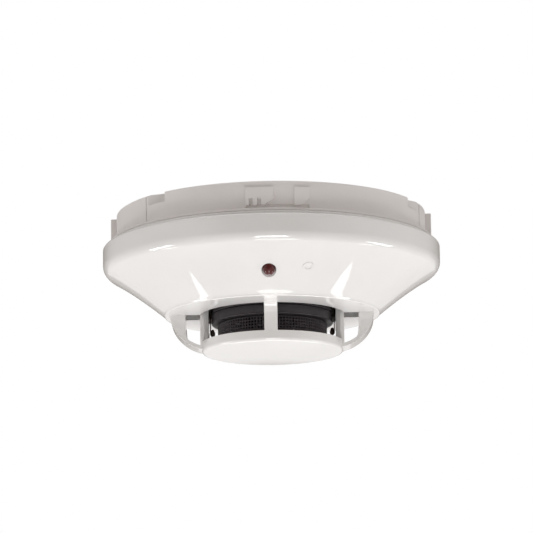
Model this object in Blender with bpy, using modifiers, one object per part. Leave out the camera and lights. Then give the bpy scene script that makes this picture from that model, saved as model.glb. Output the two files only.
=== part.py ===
"""Plug-in ceiling detector: smoke chamber and two heat beads in a caged cover, on a twist-lock base.

Lengths here are in millimetres, and the shape helpers turn them into metres.
The origin is the centre of the base's ceiling face, +Z points up into the ceiling, and the
status LED faces the front, -Y. Heights below the ceiling are negative.
Angles are in degrees about +Z, counted from the front and growing towards +X.
"""
import math

import bmesh
import bpy

MM = 0.001
GAP = 0.3                   # clearance between pieces that touch
ROUND_STEPS = 60            # facets round the large turned parts
CHAMBER_STEPS = 48          # facets round the sensing chamber

# Driving dimensions
HEAD_RADIUS = 63.6          # widest part of the cover's skirt
BASE_RADIUS = 58.0          # outside of the base's wall
BASE_DEPTH = 11.6           # ceiling face to the base's lower rim
WALL = 2.2
PLATE = 2.5                 # back plate of the base
RING_LEVEL = -39.0          # flat ring round the cage's mouth
HOLE_RADIUS = 27.3          # mouth in the flat ring, narrowed at the guards
CAGE_RADIUS = 26.6          # outside of the posts and end cap
CAP_TOP = -49.15
TOTAL_DEPTH = 53.6
BAND_RADIUS = 22.6          # smooth upper part of the sensing chamber
CHAMBER_RADIUS = 20.8       # its screened lower part
CHASSIS_TOP = -12.4
CHASSIS_THICKNESS = 2.0
BOARD_TOP = -16.2
BOARD_THICKNESS = 1.6
BOARD_RADIUS = 54.5
LED_PITCH_RADIUS = 49.3
LED_HOLE_RADIUS = 2.7
BEAD_PITCH_RADIUS = 22.5
BEAD_LEG_RADIUS = 23.3       # where the legs of the heat beads come down
BEAD_HEIGHT = -45.6
MARK_PITCH_RADIUS = 51.0
MARK_ANGLE = 16.3
TERMINAL_ANGLES = (51, 141, 201, 291)
TERMINAL_PITCH_RADIUS = 48.5
BAYONET_ANGLES = (0, 120, 240)
BOARD_SCREW_ANGLES = (96, 246, 336)
BOARD_SCREW_PITCH_RADIUS = 44.0

CHASSIS_BOTTOM = CHASSIS_TOP - CHASSIS_THICKNESS
BOARD_BOTTOM = BOARD_TOP - BOARD_THICKNESS
ON_BOARD = BOARD_BOTTOM - GAP       # where the parts under the board start


# Scene and materials

def clear_scene():
    for obj in list(bpy.data.objects):
        bpy.data.objects.remove(obj, do_unlink=True)


def make_collection(name):
    collection = bpy.data.collections.new(name)
    bpy.context.scene.collection.children.link(collection)
    return collection


clear_scene()
PARTS = make_collection("ceiling_detector")
CUTTERS = make_collection("cutters")


def make_material(name, color, roughness, metallic=0.0):
    material = bpy.data.materials.new(name)
    material.use_nodes = True
    shader = material.node_tree.nodes["Principled BSDF"]
    shader.inputs["Base Color"].default_value = (*color, 1.0)
    shader.inputs["Roughness"].default_value = roughness
    shader.inputs["Metallic"].default_value = metallic
    return material


COVER_WHITE = make_material("cover_white", (0.85, 0.84, 0.83), 0.25)
BASE_WHITE = make_material("base_white", (0.78, 0.75, 0.72), 0.5)
CHAMBER_BLACK = make_material("chamber_black", (0.03, 0.03, 0.03), 0.45)
SCREEN_BLACK = make_material("screen_black", (0.05, 0.045, 0.05), 0.55)
BOARD_GREEN = make_material("board_green", (0.03, 0.22, 0.08), 0.4)
PACKAGE_BLACK = make_material("package_black", (0.02, 0.02, 0.02), 0.5)
PLATED_STEEL = make_material("plated_steel", (0.72, 0.72, 0.70), 0.3, 1.0)
CONTACT_BRASS = make_material("contact_brass", (0.80, 0.62, 0.30), 0.3, 1.0)
SLEEVE_BLUE = make_material("sleeve_blue", (0.05, 0.10, 0.30), 0.35)
LED_RED = make_material("led_red", (0.45, 0.02, 0.02), 0.15)
CLEAR_GLASS = make_material("clear_glass", (0.75, 0.80, 0.80), 0.1)
BEAD_DARK = make_material("bead_dark", (0.04, 0.03, 0.03), 0.4)
OPTIC_DARK = make_material("optic_dark", (0.10, 0.05, 0.12), 0.15)


# Shape helpers

def polar(radius, angle):
    """A point in plan, from its radius and its angle from the front."""
    turn = math.radians(angle)
    return radius * math.sin(turn), -radius * math.cos(turn)


def facing(angle):
    """The turn about Z that points a part's own +X outward at an angle from the front."""
    return math.radians(angle - 90)


def circle(radius, count, x=0.0, y=0.0):
    steps = [2 * math.pi * i / count for i in range(count)]
    return [(x + radius * math.cos(a), y + radius * math.sin(a)) for a in steps]


def sector(inner, outer, start, end, step=6.0):
    """The outline of a piece of a ring between two angles."""
    count = max(1, round((end - start) / step))
    angles = [start + (end - start) * i / count for i in range(count + 1)]
    return [polar(outer, a) for a in angles] + [polar(inner, a) for a in reversed(angles)]


def add_part(name, mesh, material):
    """Link a mesh as a part, or as a hidden cutter where it has no material."""
    obj = bpy.data.objects.new(name, mesh)
    if material is None:
        CUTTERS.objects.link(obj)
        obj.hide_render = True
        obj.display_type = "WIRE"
    else:
        PARTS.objects.link(obj)
        mesh.materials.append(material)
    return obj


def turned(name, profile, material=None, steps=ROUND_STEPS, closed=True):
    """Turn (radius, height) points about Z. The profile runs down its outer side."""
    count = len(profile)
    edges = [(i, i + 1) for i in range(count - 1)]
    if closed:
        edges.append((count - 1, 0))
    mesh = bpy.data.meshes.new(name)
    mesh.from_pydata([(r * MM, 0.0, z * MM) for r, z in profile], edges, [])
    obj = add_part(name, mesh, material)
    screw = obj.modifiers.new("turn", "SCREW")
    screw.steps = steps
    screw.render_steps = steps
    screw.use_merge_vertices = True
    screw.merge_threshold = 0.00001
    return obj


def curve_to_mesh(curve):
    """The evaluated, welded mesh of a curve."""
    guide = bpy.data.objects.new(curve.name, curve)
    CUTTERS.objects.link(guide)
    bpy.context.view_layer.update()
    depsgraph = bpy.context.evaluated_depsgraph_get()
    mesh = bpy.data.meshes.new_from_object(guide.evaluated_get(depsgraph))
    bpy.data.objects.remove(guide, do_unlink=True)
    shape = bmesh.new()
    shape.from_mesh(mesh)
    bmesh.ops.remove_doubles(shape, verts=shape.verts, dist=0.000001)
    bmesh.ops.recalc_face_normals(shape, faces=shape.faces)
    shape.to_mesh(mesh)
    shape.free()
    return mesh


def flat_solid(name, outlines, low, high, material=None):
    """Extrude flat outlines between two heights. An outline inside another is a hole."""
    curve = bpy.data.curves.new(name, "CURVE")
    curve.dimensions = "2D"
    curve.fill_mode = "BOTH"
    curve.extrude = (high - low) / 2 * MM
    for outline in outlines:
        spline = curve.splines.new("POLY")
        spline.points.add(len(outline) - 1)
        for point, (x, y) in zip(spline.points, outline):
            point.co = (x * MM, y * MM, 0.0, 1.0)
        spline.use_cyclic_u = True
    obj = add_part(name, curve_to_mesh(curve), material)
    obj.location.z = (low + high) / 2 * MM
    return obj


def side_solid(name, outlines, half_width, angle, material=None):
    """Extrude (radius, height) outlines sideways, standing up at an angle from the front."""
    obj = flat_solid(name, outlines, -half_width, half_width, material)
    obj.rotation_euler = (math.radians(90), 0.0, facing(angle))
    return obj


def wire(name, points, radius, material=None):
    """A round wire through points, with filled ends."""
    curve = bpy.data.curves.new(name, "CURVE")
    curve.dimensions = "3D"
    curve.bevel_depth = radius * MM
    curve.bevel_resolution = 2
    curve.use_fill_caps = True
    spline = curve.splines.new("POLY")
    spline.points.add(len(points) - 1)
    for point, (x, y, z) in zip(spline.points, points):
        point.co = (x * MM, y * MM, z * MM, 1.0)
    return add_part(name, curve_to_mesh(curve), material)


def cylinder(name, radius, low, high, place=(0.0, 0.0), material=None, steps=24):
    shape = bmesh.new()
    bmesh.ops.create_cone(shape, cap_ends=True, segments=steps, radius1=radius * MM,
                          radius2=radius * MM, depth=(high - low) * MM)
    mesh = bpy.data.meshes.new(name)
    shape.to_mesh(mesh)
    shape.free()
    obj = add_part(name, mesh, material)
    obj.location = (place[0] * MM, place[1] * MM, (low + high) / 2 * MM)
    return obj


def block(name, size, radius, angle, centre_height, material=None):
    """A box whose own X points outward at a radius and an angle from the front."""
    shape = bmesh.new()
    bmesh.ops.create_cube(shape, size=MM)
    bmesh.ops.scale(shape, vec=size, verts=shape.verts)
    mesh = bpy.data.meshes.new(name)
    shape.to_mesh(mesh)
    shape.free()
    obj = add_part(name, mesh, material)
    x, y = polar(radius, angle)
    obj.location = (x * MM, y * MM, centre_height * MM)
    obj.rotation_euler.z = facing(angle)
    return obj


def combine(obj, other, operation):
    modifier = obj.modifiers.new(other.name, "BOOLEAN")
    modifier.object = other
    modifier.operation = operation
    modifier.solver = "EXACT"


def join(obj, *others):
    for other in others:
        combine(obj, other, "UNION")


def cut(obj, *others):
    for other in others:
        combine(obj, other, "DIFFERENCE")


# Mounting base

NOTCHES = ((-51.0, -40.9), (73.5, 62.5))    # cable notches: the far and the near end of each
NOTCH_BOTTOM = -3.8                 # the wall is cut away above this height
NOTCH_SETBACK = 5.6                 # depth of a notch at its near end
LEDGE_TOP = -6.3
LEDGE_BOTTOM = -8.0
PAD_BOTTOM = -3.1                   # seats of the contact clips
COMB_KEY = (-8.0, 2.2)
PLAIN_KEY = (9.5, 15.2)
CABLE_OPENING = 17.5


def make_base_shell():
    """Back plate with cable opening and screw slots, wall, rim, ledges and front keys."""
    inner = BASE_RADIUS - WALL
    rim = -BASE_DEPTH
    profile = [(CABLE_OPENING, 0.0), (BASE_RADIUS - 0.4, 0.0), (BASE_RADIUS, -0.4), (BASE_RADIUS, rim + 0.9),
               (60.8, rim + 0.9), (60.8, rim), (inner, rim), (inner, -PLATE), (CABLE_OPENING, -PLATE)]
    base = turned("base_shell", profile, BASE_WHITE)
    side_wall = flat_solid("side_wall", [sector(57.1, BASE_RADIUS + 0.3, NOTCHES[1][0], 360 + NOTCHES[0][0])],
                           rim + 0.4, -0.9)
    ledges = flat_solid("ledges", [sector(51.2, 56.6, a - 8, a + 8) for a in BAYONET_ANGLES],
                        LEDGE_BOTTOM, LEDGE_TOP)
    tabs = flat_solid("tabs", [sector(56.7, 60.6, a - 1.4, a + 1.4) for a in (90, 270)], rim + 0.5, -0.8)
    pads = flat_solid("pads", [sector(44.2, 53.4, a - 6, a + 6) for a in TERMINAL_ANGLES],
                      PAD_BOTTOM, -1.6)
    join(base, side_wall, ledges, tabs, pads)
    add_notches(base)
    add_keys(base)

    slot = ((29, -1.3), (30, -2), (41, -2), (42, -1.3), (42, 1.3), (41, 2), (30, 2), (29, 1.3))
    slots = [[(side * x, y) for x, y in slot] for side in (-1, 1)]
    cut(base, flat_solid("screw_slots", slots, -PLATE - 1.0, 1.0))
    holes = flat_solid("terminal_holes", [circle(1.5 + GAP, 16, *polar(TERMINAL_PITCH_RADIUS, a))
                                          for a in TERMINAL_ANGLES], PAD_BOTTOM - 1.0, -0.7)
    cut(base, holes)


def add_notches(base):
    """Cable notches: the wall is cut down, and a straight inner wall stands behind each."""
    for number, (far, near) in enumerate(NOTCHES):
        far_in, far_out = polar(BASE_RADIUS + 0.6, far), polar(BASE_RADIUS + 4.0, far)
        near_out, near_edge = polar(BASE_RADIUS + 4.0, near), polar(BASE_RADIUS, near)
        inset = polar(BASE_RADIUS - NOTCH_SETBACK * 0.7, near)
        along = math.hypot(inset[0] - far_in[0], inset[1] - far_in[1])
        out_x, out_y = (far_in[0] - inset[0]) / along, (far_in[1] - inset[1]) / along
        side = 1 if near > 0 else -1
        across = (-out_y * side * WALL, out_x * side * WALL)
        start = (inset[0] - out_x * 2.5, inset[1] - out_y * 2.5)
        stop = (far_in[0] - out_x * 2.4, far_in[1] - out_y * 2.4)
        back = [(x + share * across[0], y + share * across[1])
                for (x, y), share in ((start, -0.3), (stop, -0.3), (stop, 1.0), (start, 1.0))]
        join(base, flat_solid(f"notch_back_{number}", [back], -8.6, -1.2))
        cut(base, flat_solid(f"notch_{number}", [[far_in, far_out, near_out, near_edge, inset]],
                             NOTCH_BOTTOM, 2.0))


def add_keys(base):
    """A shallow panel in the front wall, with a comb key and a plain key standing in it."""
    cut(base, flat_solid("panel", [sector(57.5, 62.0, COMB_KEY[0] + 0.1, PLAIN_KEY[1] - 0.1, step=5.9)],
                         1.0 - BASE_DEPTH, -8.8))
    top, corner, bottom = -2.5, -7.0, -9.2
    for name, (start, end), slot_angles in (("comb_key", COMB_KEY, ((-6.5, -5.2), (-3.6, -2.3))),
                                            ("plain_key", PLAIN_KEY, ())):
        left, right = (math.radians(a) * BASE_RADIUS for a in (start, end))
        middle = (left + right) / 2
        outline = [(left, top), (left, bottom), (right - 3.0, bottom), (right, corner), (right, top)]
        key = flat_solid(name, [[(x - middle, z) for x, z in outline]], -1.0, 0.55)
        x, y = polar(BASE_RADIUS - 0.12, (start + end) / 2)
        key.location = (x * MM, y * MM, 0.0)
        key.rotation_euler = (math.radians(90), 0.0, math.radians((start + end) / 2))
        join(base, key)
        if slot_angles:
            cut(base, flat_solid(f"{name}_slots", [sector(57.6, 60.0, *span) for span in slot_angles],
                                 -9.6, -6.6))


def make_terminal(number, angle):
    """One spring contact with the clamp plate and screw that hold its wire."""
    clip_outline = [(53.0, -3.4), (43.2, -3.4), (43.2, -6.4), (36.5, -6.4), (36.5, -7.1), (43.2, -7.1),
                    (43.2, -9.1), (36.5, -9.1), (36.5, -9.8), (44.0, -9.8), (44.0, -4.2), (53.0, -4.2)]
    centre = polar(TERMINAL_PITCH_RADIUS, angle)
    clip = side_solid(f"contact_clip_{number}", [clip_outline], 3.4, angle, PLATED_STEEL)
    cut(clip, cylinder(f"clip_hole_{number}", 1.5 + GAP, -5.0, -3.0, centre, steps=16))
    clamp = block(f"clamp_plate_{number}", (7.6, 7.6, 1.0), TERMINAL_PITCH_RADIUS, angle, -5.0, PLATED_STEEL)
    cut(clamp, cylinder(f"clamp_hole_{number}", 1.5 + GAP, -6.0, -4.0, centre, steps=16))
    make_screw(f"terminal_screw_{number}", centre, top=-1.0, head_top=-5.8, head_bottom=-8.0,
               shank=1.5, head=2.8)


def make_screw(name, centre, top, head_top, head_bottom, shank, head):
    """A pan-head screw with its head down and a driver slot, turned a little off the axes."""
    profile = [(0.0, top), (shank, top), (shank, head_top), (head, head_top),
               (head, head_bottom + 0.7), (head - 0.7, head_bottom), (0.0, head_bottom)]
    screw = turned(name, profile, PLATED_STEEL, steps=14, closed=False)
    screw.location = (centre[0] * MM, centre[1] * MM, 0.0)
    reach = head + 1.0
    slot = flat_solid(f"{name}_slot", [[(-reach, -0.45), (reach, -0.45), (reach, 0.45), (-reach, 0.45)]],
                      head_bottom - 0.5, head_bottom + 0.9)
    slot.location.x, slot.location.y = screw.location.x, screw.location.y
    slot.rotation_euler.z = math.radians(20)
    cut(screw, slot)


# Head: chassis, contacts and circuit board

STEM_RADIUS = 33.8                  # where the contact blades pass through the chassis and board
KEY_TOP = -3.9
KEY_BOTTOM = -5.8
HOOK_ANGLES = (30, 75, 150, 195, 270, 315)


def make_chassis():
    """The head's rear housing, with bayonet keys above it, and bosses and cover hooks below."""
    chassis = cylinder("chassis", 59.2, CHASSIS_BOTTOM, CHASSIS_TOP, material=BASE_WHITE,
                       steps=ROUND_STEPS)
    arms = flat_solid("key_arms", [sector(48.4, 50.4, a - 7, a + 7) for a in BAYONET_ANGLES],
                      CHASSIS_BOTTOM + 1.0, KEY_TOP)
    keys = flat_solid("bayonet_keys", [sector(49.4, 54.9, a - 6.7, a + 6.7) for a in BAYONET_ANGLES],
                      KEY_BOTTOM, KEY_TOP - 0.2)
    bosses = flat_solid("bosses", [circle(3.2, 20, *polar(BOARD_SCREW_PITCH_RADIUS, a))
                                   for a in BOARD_SCREW_ANGLES], BOARD_TOP + GAP, CHASSIS_BOTTOM + 1.0)
    hooks = flat_solid("cover_hooks", [sector(57.2, 58.8, a - 4, a + 4) for a in HOOK_ANGLES],
                       -20.5, CHASSIS_BOTTOM + 1.0)
    join(chassis, arms, keys, bosses, hooks)
    screw_holes = flat_solid("boss_holes", [circle(1.4 + GAP, 16, *polar(BOARD_SCREW_PITCH_RADIUS, a))
                                            for a in BOARD_SCREW_ANGLES], -17.0, CHASSIS_BOTTOM + 1.4)
    cut(chassis, screw_holes, stem_cutter("chassis_slots", CHASSIS_BOTTOM - 1.0, CHASSIS_TOP + 1.0))


def stem_cutter(name, low, high):
    """Slots that let the four contact stems through."""
    outlines = []
    for angle in TERMINAL_ANGLES:
        across = math.degrees(2.0 / STEM_RADIUS)
        outlines.append(sector(STEM_RADIUS - 1.0, STEM_RADIUS + 1.0, angle - across, angle + across))
    return flat_solid(name, outlines, low, high)


def make_contact_blade(number, angle):
    """A stem from the board with a flag that slides between the base's two spring leaves."""
    outline = [(33.2, -7.5), (42.4, -7.5), (42.4, -8.7), (34.4, -8.7), (34.4, -18.8), (33.2, -18.8)]
    side_solid(f"contact_blade_{number}", [outline], 1.6, angle, CONTACT_BRASS)


def make_circuit_board():
    board = cylinder("circuit_board", BOARD_RADIUS, BOARD_BOTTOM, BOARD_TOP, material=BOARD_GREEN,
                     steps=ROUND_STEPS)
    holes = flat_solid("board_holes", [circle(1.4 + GAP, 16, *polar(BOARD_SCREW_PITCH_RADIUS, a))
                                       for a in BOARD_SCREW_ANGLES], -19.0, -15.0)
    cut(board, holes, stem_cutter("board_slots", -19.0, -15.0))


def make_board_parts():
    """Screws and the larger components on the underside of the board."""
    for number, angle in enumerate(BOARD_SCREW_ANGLES, start=1):
        centre = polar(BOARD_SCREW_PITCH_RADIUS, angle)
        make_screw(f"board_screw_{number}", centre, top=CHASSIS_BOTTOM + 1.1, head_top=ON_BOARD,
                   head_bottom=ON_BOARD - 2.0, shank=1.4, head=2.7)
    block("microcontroller", (9.0, 9.0, 1.2), 42.0, 120, ON_BOARD - 0.6, PACKAGE_BLACK)
    capacitor = [(0.0, ON_BOARD), (3.15, ON_BOARD), (3.15, ON_BOARD - 0.8), (2.85, ON_BOARD - 1.2),
                 (3.15, ON_BOARD - 1.6), (3.15, ON_BOARD - 7.0), (0.0, ON_BOARD - 7.0)]
    can = turned("capacitor", capacitor, SLEEVE_BLUE, steps=24, closed=False)
    x, y = polar(42.0, 270)
    can.location = (x * MM, y * MM, 0.0)


def make_reed_switch():
    """A glass capsule on bent wires, behind the ring mark in the cover."""
    level = -23.8
    wires = [(-9, 0, ON_BOARD), (-9, 0, level), (9, 0, level), (9, 0, ON_BOARD)]
    reed = wire("reed_switch", wires, 0.4, CLEAR_GLASS)
    capsule = turned("capsule", [(0.0, 6.0), (0.8, 5.7), (1.3, 4.8), (1.3, -4.8), (0.8, -5.7), (0.0, -6.0)],
                     steps=16, closed=False)
    x, y = polar(MARK_PITCH_RADIUS, MARK_ANGLE)
    turn = math.radians(MARK_ANGLE)
    reed.location = (x * MM, y * MM, 0.0)
    reed.rotation_euler.z = turn
    capsule.location = (x * MM, y * MM, level * MM)
    capsule.rotation_euler = (0.0, math.radians(90), turn)
    join(reed, capsule)


def make_status_led():
    """A domed LED on two legs, and the spacer that holds it in the cover's hole."""
    dome_radius = LED_HOLE_RADIUS - 0.4
    dome_centre = -31.0
    arc = [math.radians(a) for a in (0, 22, 45, 67, 90)]
    dome = [(dome_radius * math.cos(a), dome_centre - dome_radius * math.sin(a)) for a in arc[:-1]]
    tip = (0.0, dome_centre - dome_radius)
    profile = [(0.0, -24.6), (2.7, -24.6), (2.7, -25.6), (dome_radius, -25.6)] + dome + [tip]
    centre = polar(LED_PITCH_RADIUS, 0)
    led = turned("status_led", profile, LED_RED, steps=24, closed=False)
    led.location = (centre[0] * MM, centre[1] * MM, 0.0)
    for name, side in (("led_leg_left", -1.27), ("led_leg_right", 1.27)):
        join(led, cylinder(name, 0.28, -25.2, ON_BOARD, (centre[0] + side, centre[1]), steps=8))
    spacer = turned("led_spacer", [(2.7, ON_BOARD), (2.7, -24.3), (1.9, -24.3), (1.9, ON_BOARD)],
                    PACKAGE_BLACK, steps=24)
    spacer.location = led.location


def make_thermistor(name, angle):
    """A drop-shaped heat bead on two thin legs that come down beside the chamber."""
    x, y = polar(BEAD_PITCH_RADIUS, angle)
    leg_x = polar(BEAD_LEG_RADIUS, angle)[0]
    radius = 0.98
    profile = [(0.0, BEAD_HEIGHT + 1.9), (0.45, BEAD_HEIGHT + 1.7), (0.8, BEAD_HEIGHT + 1.0),
               (radius, BEAD_HEIGHT + 0.4), (radius, BEAD_HEIGHT - 0.4), (0.7, BEAD_HEIGHT - 0.9),
               (0.0, BEAD_HEIGHT - 1.1)]
    bead = turned(name, profile, BEAD_DARK, steps=16, closed=False)
    bead.location = (x * MM, y * MM, 0.0)
    for leg, side in (("a", -0.35), ("b", 0.35)):
        join(bead, cylinder(f"{name}_leg_{leg}", 0.2, BEAD_HEIGHT, ON_BOARD, (leg_x, y + side), steps=8))


# Sensing chamber

CHAMBER_FLOOR = -36.3
CHAMBER_FACE = -38.3                # underside of the chamber base
BAND_BOTTOM = -42.2                 # the smooth band of the chamber cover ends here
VANE_COUNT = 18


def bead_slots(name, low, high):
    """Slots that let the legs of both heat beads through."""
    outlines = [[(side * x, y) for x, y in ((22.85, -0.85), (23.85, -0.85), (23.85, 0.85), (22.85, 0.85))]
                for side in (-1, 1)]
    return flat_solid(name, outlines, low, high)


def make_chamber_base():
    """A black cup on the board that reaches down to the cover's mouth and carries the optics."""
    wall = BAND_RADIUS
    profile = [(0.0, CHAMBER_FLOOR), (wall - 0.6, CHAMBER_FLOOR), (wall - 0.6, ON_BOARD), (27.0, ON_BOARD),
               (27.0, ON_BOARD - 2.0), (wall, ON_BOARD - 2.0), (wall, CHAMBER_FACE), (0.0, CHAMBER_FACE)]
    base = turned("chamber_base", profile, CHAMBER_BLACK, steps=CHAMBER_STEPS, closed=False)
    cut(base, bead_slots("flange_slots", ON_BOARD - 3.0, ON_BOARD + 1.0))


def make_chamber_cover():
    """The labyrinth: a smooth band, a ring of slanted vanes and a closed end."""
    top = CHAMBER_FACE - GAP
    end_top = -47.95
    outer = BAND_RADIUS
    band = [(outer, top), (outer, BAND_BOTTOM + 0.4), (outer + 0.2, BAND_BOTTOM + 0.3),
            (outer + 0.2, BAND_BOTTOM), (14.8, BAND_BOTTOM), (14.8, BAND_BOTTOM + 0.7),
            (outer - 0.6, BAND_BOTTOM + 0.7), (outer - 0.6, top)]
    cover = turned("chamber_cover", band, CHAMBER_BLACK, steps=CHAMBER_STEPS)
    end = cylinder("chamber_end", CHAMBER_RADIUS - 0.2, end_top - 0.9, end_top, steps=CHAMBER_STEPS)
    vanes = []
    slant = math.radians(38)
    for i in range(VANE_COUNT):
        x, y = polar(17.0, 360 * i / VANE_COUNT)
        turn = facing(360 * i / VANE_COUNT) + slant
        corners = ((-2.4, -0.4), (2.4, -0.4), (2.4, 0.4), (-2.4, 0.4))
        vanes.append([(x + u * math.cos(turn) - v * math.sin(turn), y + u * math.sin(turn) + v * math.cos(turn))
                      for u, v in corners])
    join(cover, flat_solid("vanes", vanes, end_top - 0.4, BAND_BOTTOM + 0.3), end)


def make_insect_screen():
    """A thin sleeve round the vanes, under the band."""
    outer = CHAMBER_RADIUS - 0.4
    inner = outer - 0.4
    top = BAND_BOTTOM - GAP
    bottom = -47.65
    turned("insect_screen", [(outer, top), (outer, bottom), (inner, bottom), (inner, top)],
           SCREEN_BLACK, steps=CHAMBER_STEPS)


def make_optics():
    """The light source, the receiver and its metal shield, under the chamber base."""
    level = -41.1
    emitter = [(0.0, 3.2), (1.6, 3.2), (1.6, -1.6), (1.1, -2.6), (0.0, -3.0)]
    source = turned("infrared_emitter", emitter, OPTIC_DARK, steps=16, closed=False)
    x, y = polar(9.5, 250)
    source.location = (x * MM, y * MM, level * MM)
    source.rotation_euler = (0.0, math.radians(90), facing(250))
    block("photodiode", (1.8, 4.2, 3.2), 9.0, 115, level, OPTIC_DARK)
    shield_outline = [(11.6, -38.7), (11.6, -44.1), (7.6, -44.1), (7.6, -43.6), (11.1, -43.6), (11.1, -38.7)]
    side_solid("photodiode_shield", [shield_outline], 2.6, 115, PLATED_STEEL)


# Outer cover

COVER_OUTSIDE = [(60.4, -11.9), (60.4, -12.75), (62.6, -12.9), (63.3, -13.25), (HEAD_RADIUS, -13.9),
                 (HEAD_RADIUS, -19.5), (63.3, -21.2), (62.8, -22.1), (61.6, -23.2), (57.1, -26.0),
                 (52.1, -29.4), (46.7, -33.45), (40.9, -38.15), (40.7, -38.6), (39.9, RING_LEVEL)]
COVER_INSIDE = [(24.8, RING_LEVEL), (24.8, RING_LEVEL + 2.0), (39.0, RING_LEVEL + 2.0), (44.9, -32.5),
                (49.6, -28.3), (55.3, -24.3), (59.6, -21.7), (61.4, -19.3), (61.4, -15.9), (59.7, -13.8),
                (59.7, -11.9)]
POST_OUTLINE = [(25.4, RING_LEVEL + 0.7), (28.4, RING_LEVEL + 0.7), (28.4, RING_LEVEL - 0.05),
                (27.2, RING_LEVEL - 2.0), (26.6, RING_LEVEL - 4.5), (26.55, CAP_TOP - 0.5),
                (25.4, CAP_TOP - 0.5)]
POST_HALF_WIDTH = 2.46
LEG_OUTLINE = [(26.7, -5.3), (25.6, -5.3), (23.8, -4.6), (23.8, 4.6), (25.6, 5.3), (26.7, 5.3)]
GUARD_OUTLINE = [(38.2, -38.4), (38.2, -39.2), (37.8, -41.9), (36.75, -44.6), (35.0, -47.1), (32.65, -49.2),
                 (29.8, -50.9), (26.9, -52.0), (25.6, -52.0), (25.6, -38.4)]
GUARD_HOLE = [(27.0, -38.8), (32.5, -38.8), (32.5, -42.7), (32.3, -45.4), (31.9, -47.8), (31.2, -48.6),
              (29.4, -49.7), (27.0, -50.5)]
GUARD_HALF_WIDTH = 5.3


def make_outer_cover():
    """One moulding: skirt, cone and flat ring, with posts, legs and guards that carry the end cap."""
    cover = turned("outer_cover", COVER_OUTSIDE + COVER_INSIDE, COVER_WHITE)
    cut(cover, make_mouth())
    cap = turned("end_cap", [(0.0, CAP_TOP), (CAGE_RADIUS, CAP_TOP), (CAGE_RADIUS, -52.0), (26.3, -52.6),
                             (25.6, -53.0), (12.0, -53.45), (0.0, -TOTAL_DEPTH)], closed=False)
    posts = [side_solid(f"post_{angle}", [POST_OUTLINE], POST_HALF_WIDTH, angle) for angle in (0, 180)]
    legs = flat_solid("legs", [[(side * x, y) for x, y in LEG_OUTLINE] for side in (-1, 1)],
                      CAP_TOP - 0.5, RING_LEVEL + 3.5)
    guards = [side_solid(f"guard_{side}", [GUARD_OUTLINE, GUARD_HOLE], GUARD_HALF_WIDTH, angle)
              for side, angle in (("right", 90), ("left", 270))]
    join(cover, *posts, legs, *guards, cap)

    openings = [[(side * x, y) for x, y in ((27.0, -5.0), (32.5, -5.0), (32.5, 5.0), (27.0, 5.0))]
                for side in (-1, 1)]
    cut(cover, flat_solid("guard_openings", openings, RING_LEVEL - 0.15, RING_LEVEL + 3.0))
    cut(cover, cylinder("led_hole", LED_HOLE_RADIUS, -38.0, -24.5, polar(LED_PITCH_RADIUS, 0)))
    join(cover, make_magnet_mark())


def make_mouth():
    """The round mouth of the flat ring, with straight sides beside the legs."""
    side = 25.5
    span = math.degrees(math.asin(side / HOLE_RADIUS))
    outline = []
    for middle in (0, 180):
        outline += [polar(HOLE_RADIUS, middle - span + 2 * span * i / 24) for i in range(25)]
    return flat_solid("mouth", [outline], RING_LEVEL - 1.0, RING_LEVEL + 3.2)


def make_magnet_mark():
    """A low ring on the cone that shows where a test magnet goes."""
    ring = turned("magnet_mark", [(2.1, 0.3), (2.1, -0.4), (1.15, -0.4), (1.15, 0.3)], steps=24)
    (r1, z1), (r2, z2) = COVER_OUTSIDE[10:12]
    slope = math.atan2(z1 - z2, r1 - r2)
    x, y = polar(MARK_PITCH_RADIUS, MARK_ANGLE)
    ring.location = (x * MM, y * MM, (z1 + (MARK_PITCH_RADIUS - r1) * math.tan(slope)) * MM)
    ring.rotation_euler = (0.0, math.radians(180) - slope, facing(MARK_ANGLE))
    return ring


make_base_shell()
for terminal_number, terminal_angle in enumerate(TERMINAL_ANGLES, start=1):
    make_terminal(terminal_number, terminal_angle)
    make_contact_blade(terminal_number, terminal_angle)
make_chassis()
make_circuit_board()
make_board_parts()
make_reed_switch()
make_status_led()
make_thermistor("thermistor_right", 90)
make_thermistor("thermistor_left", 270)
make_chamber_base()
make_chamber_cover()
make_insect_screen()
make_optics()
make_outer_cover()
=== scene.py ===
"""Looks of the ceiling detector: fine meshes, procedural materials, studio light and camera.

Lengths are in millimetres where a name or a comment doesn't say otherwise, and the mesh helpers
turn them into metres. Angles are in degrees about +Z from the front (-Y), growing towards +X.
"""
import math

import bmesh
import bpy
from mathutils import Matrix, Vector


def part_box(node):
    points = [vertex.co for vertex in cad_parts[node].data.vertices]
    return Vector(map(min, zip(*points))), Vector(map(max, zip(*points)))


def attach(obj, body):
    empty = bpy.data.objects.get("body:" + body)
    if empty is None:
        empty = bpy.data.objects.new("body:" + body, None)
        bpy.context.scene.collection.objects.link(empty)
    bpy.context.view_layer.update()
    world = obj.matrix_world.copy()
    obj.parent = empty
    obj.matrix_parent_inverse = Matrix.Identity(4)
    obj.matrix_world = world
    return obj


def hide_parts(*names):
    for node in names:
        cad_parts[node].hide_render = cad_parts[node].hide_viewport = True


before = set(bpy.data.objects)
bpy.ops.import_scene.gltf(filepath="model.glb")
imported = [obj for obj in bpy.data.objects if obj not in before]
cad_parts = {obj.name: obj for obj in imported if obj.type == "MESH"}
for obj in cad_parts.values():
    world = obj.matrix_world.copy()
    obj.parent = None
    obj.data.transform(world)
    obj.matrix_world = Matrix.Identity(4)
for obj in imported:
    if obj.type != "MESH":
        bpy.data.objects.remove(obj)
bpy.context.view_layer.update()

MM = 0.001
TURN_STEPS = 256            # facets round the large turned pieces


def node_range(node, axis):
    """The lowest and highest place of a CAD node along an axis, in millimetres."""
    low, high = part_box(node)
    return low[axis] / MM, high[axis] / MM


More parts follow.
